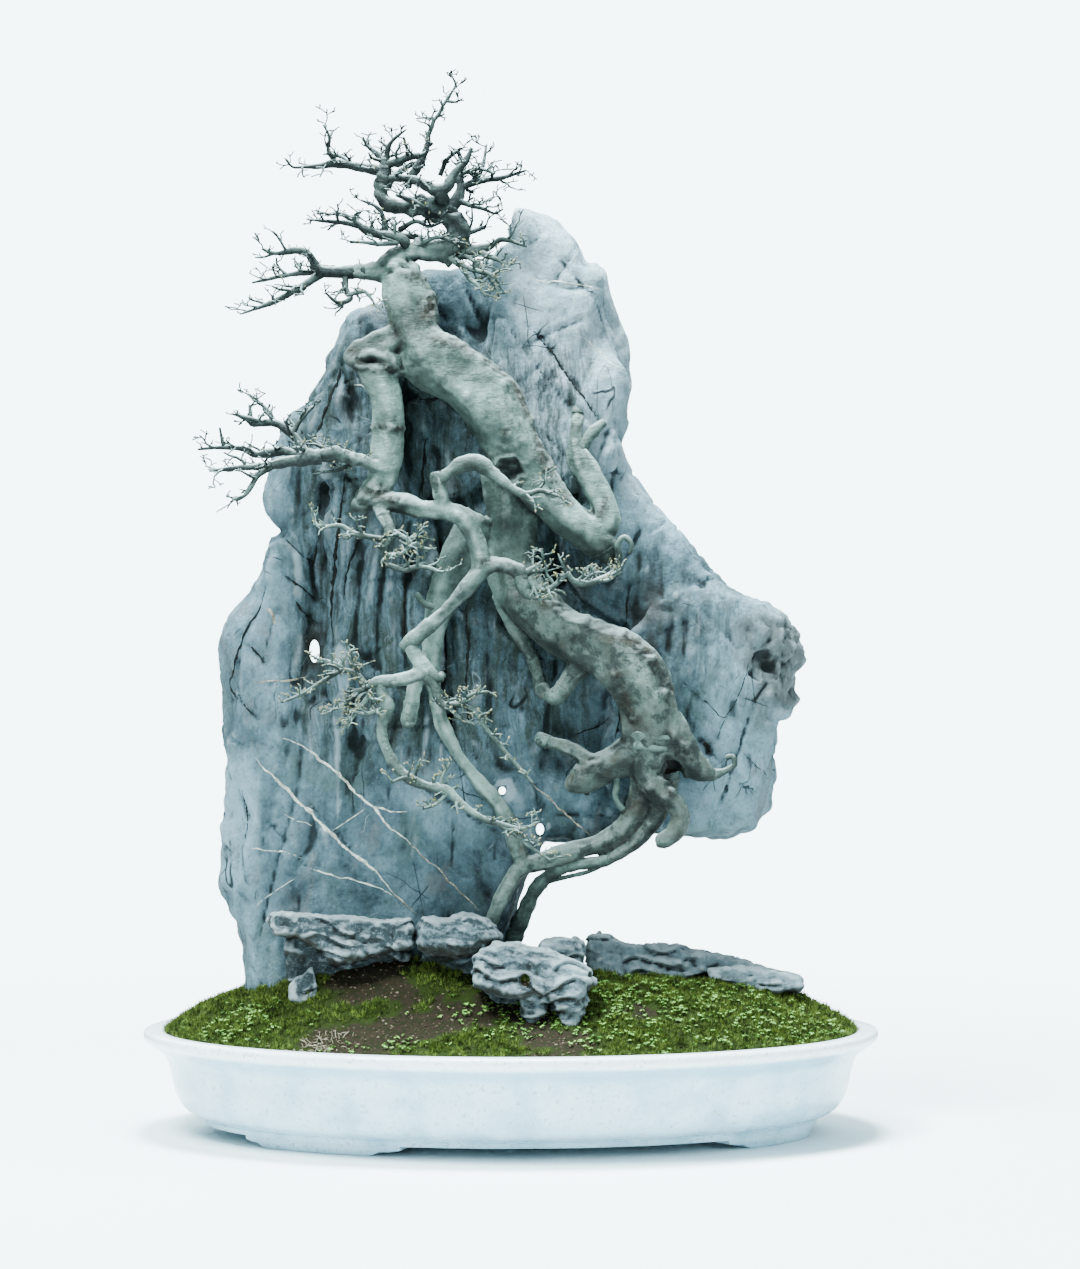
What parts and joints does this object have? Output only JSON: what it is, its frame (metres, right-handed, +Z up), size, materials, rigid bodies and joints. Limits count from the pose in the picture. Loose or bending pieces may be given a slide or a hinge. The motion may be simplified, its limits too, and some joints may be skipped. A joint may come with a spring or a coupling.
{
  "type": "root over rock bonsai",
  "caption": "Bare old tree whose roots ride over a tall weathered rock, with small stones and moss-covered soil in a shallow oval footed pot.",
  "frame": {"origin": "middle of the underside, on the surface that the pot stands on", "axes": "+Z up, +X to the right along the pot's length seen from the front, -Y to the front"},
  "size_m": [0.835, 0.54, 1.1903],
  "materials": {
    "pot": "white glaze",
    "soil": "moss over earth",
    "rock": "rough, chipped",
    "stone": "rough, pitted",
    "tree": "smooth bark"
  },
  "bodies": {
    "root": {"pot": "pot", "soil": "soil", "rock": "rock", "tree": "tree", "stone_flat": "stone", "stone_boulder": "stone", "stone_holed": "stone", "stone_slab": "stone", "stone_small": "stone", "stone_chip": "stone"}
  },
  "joints": []
}
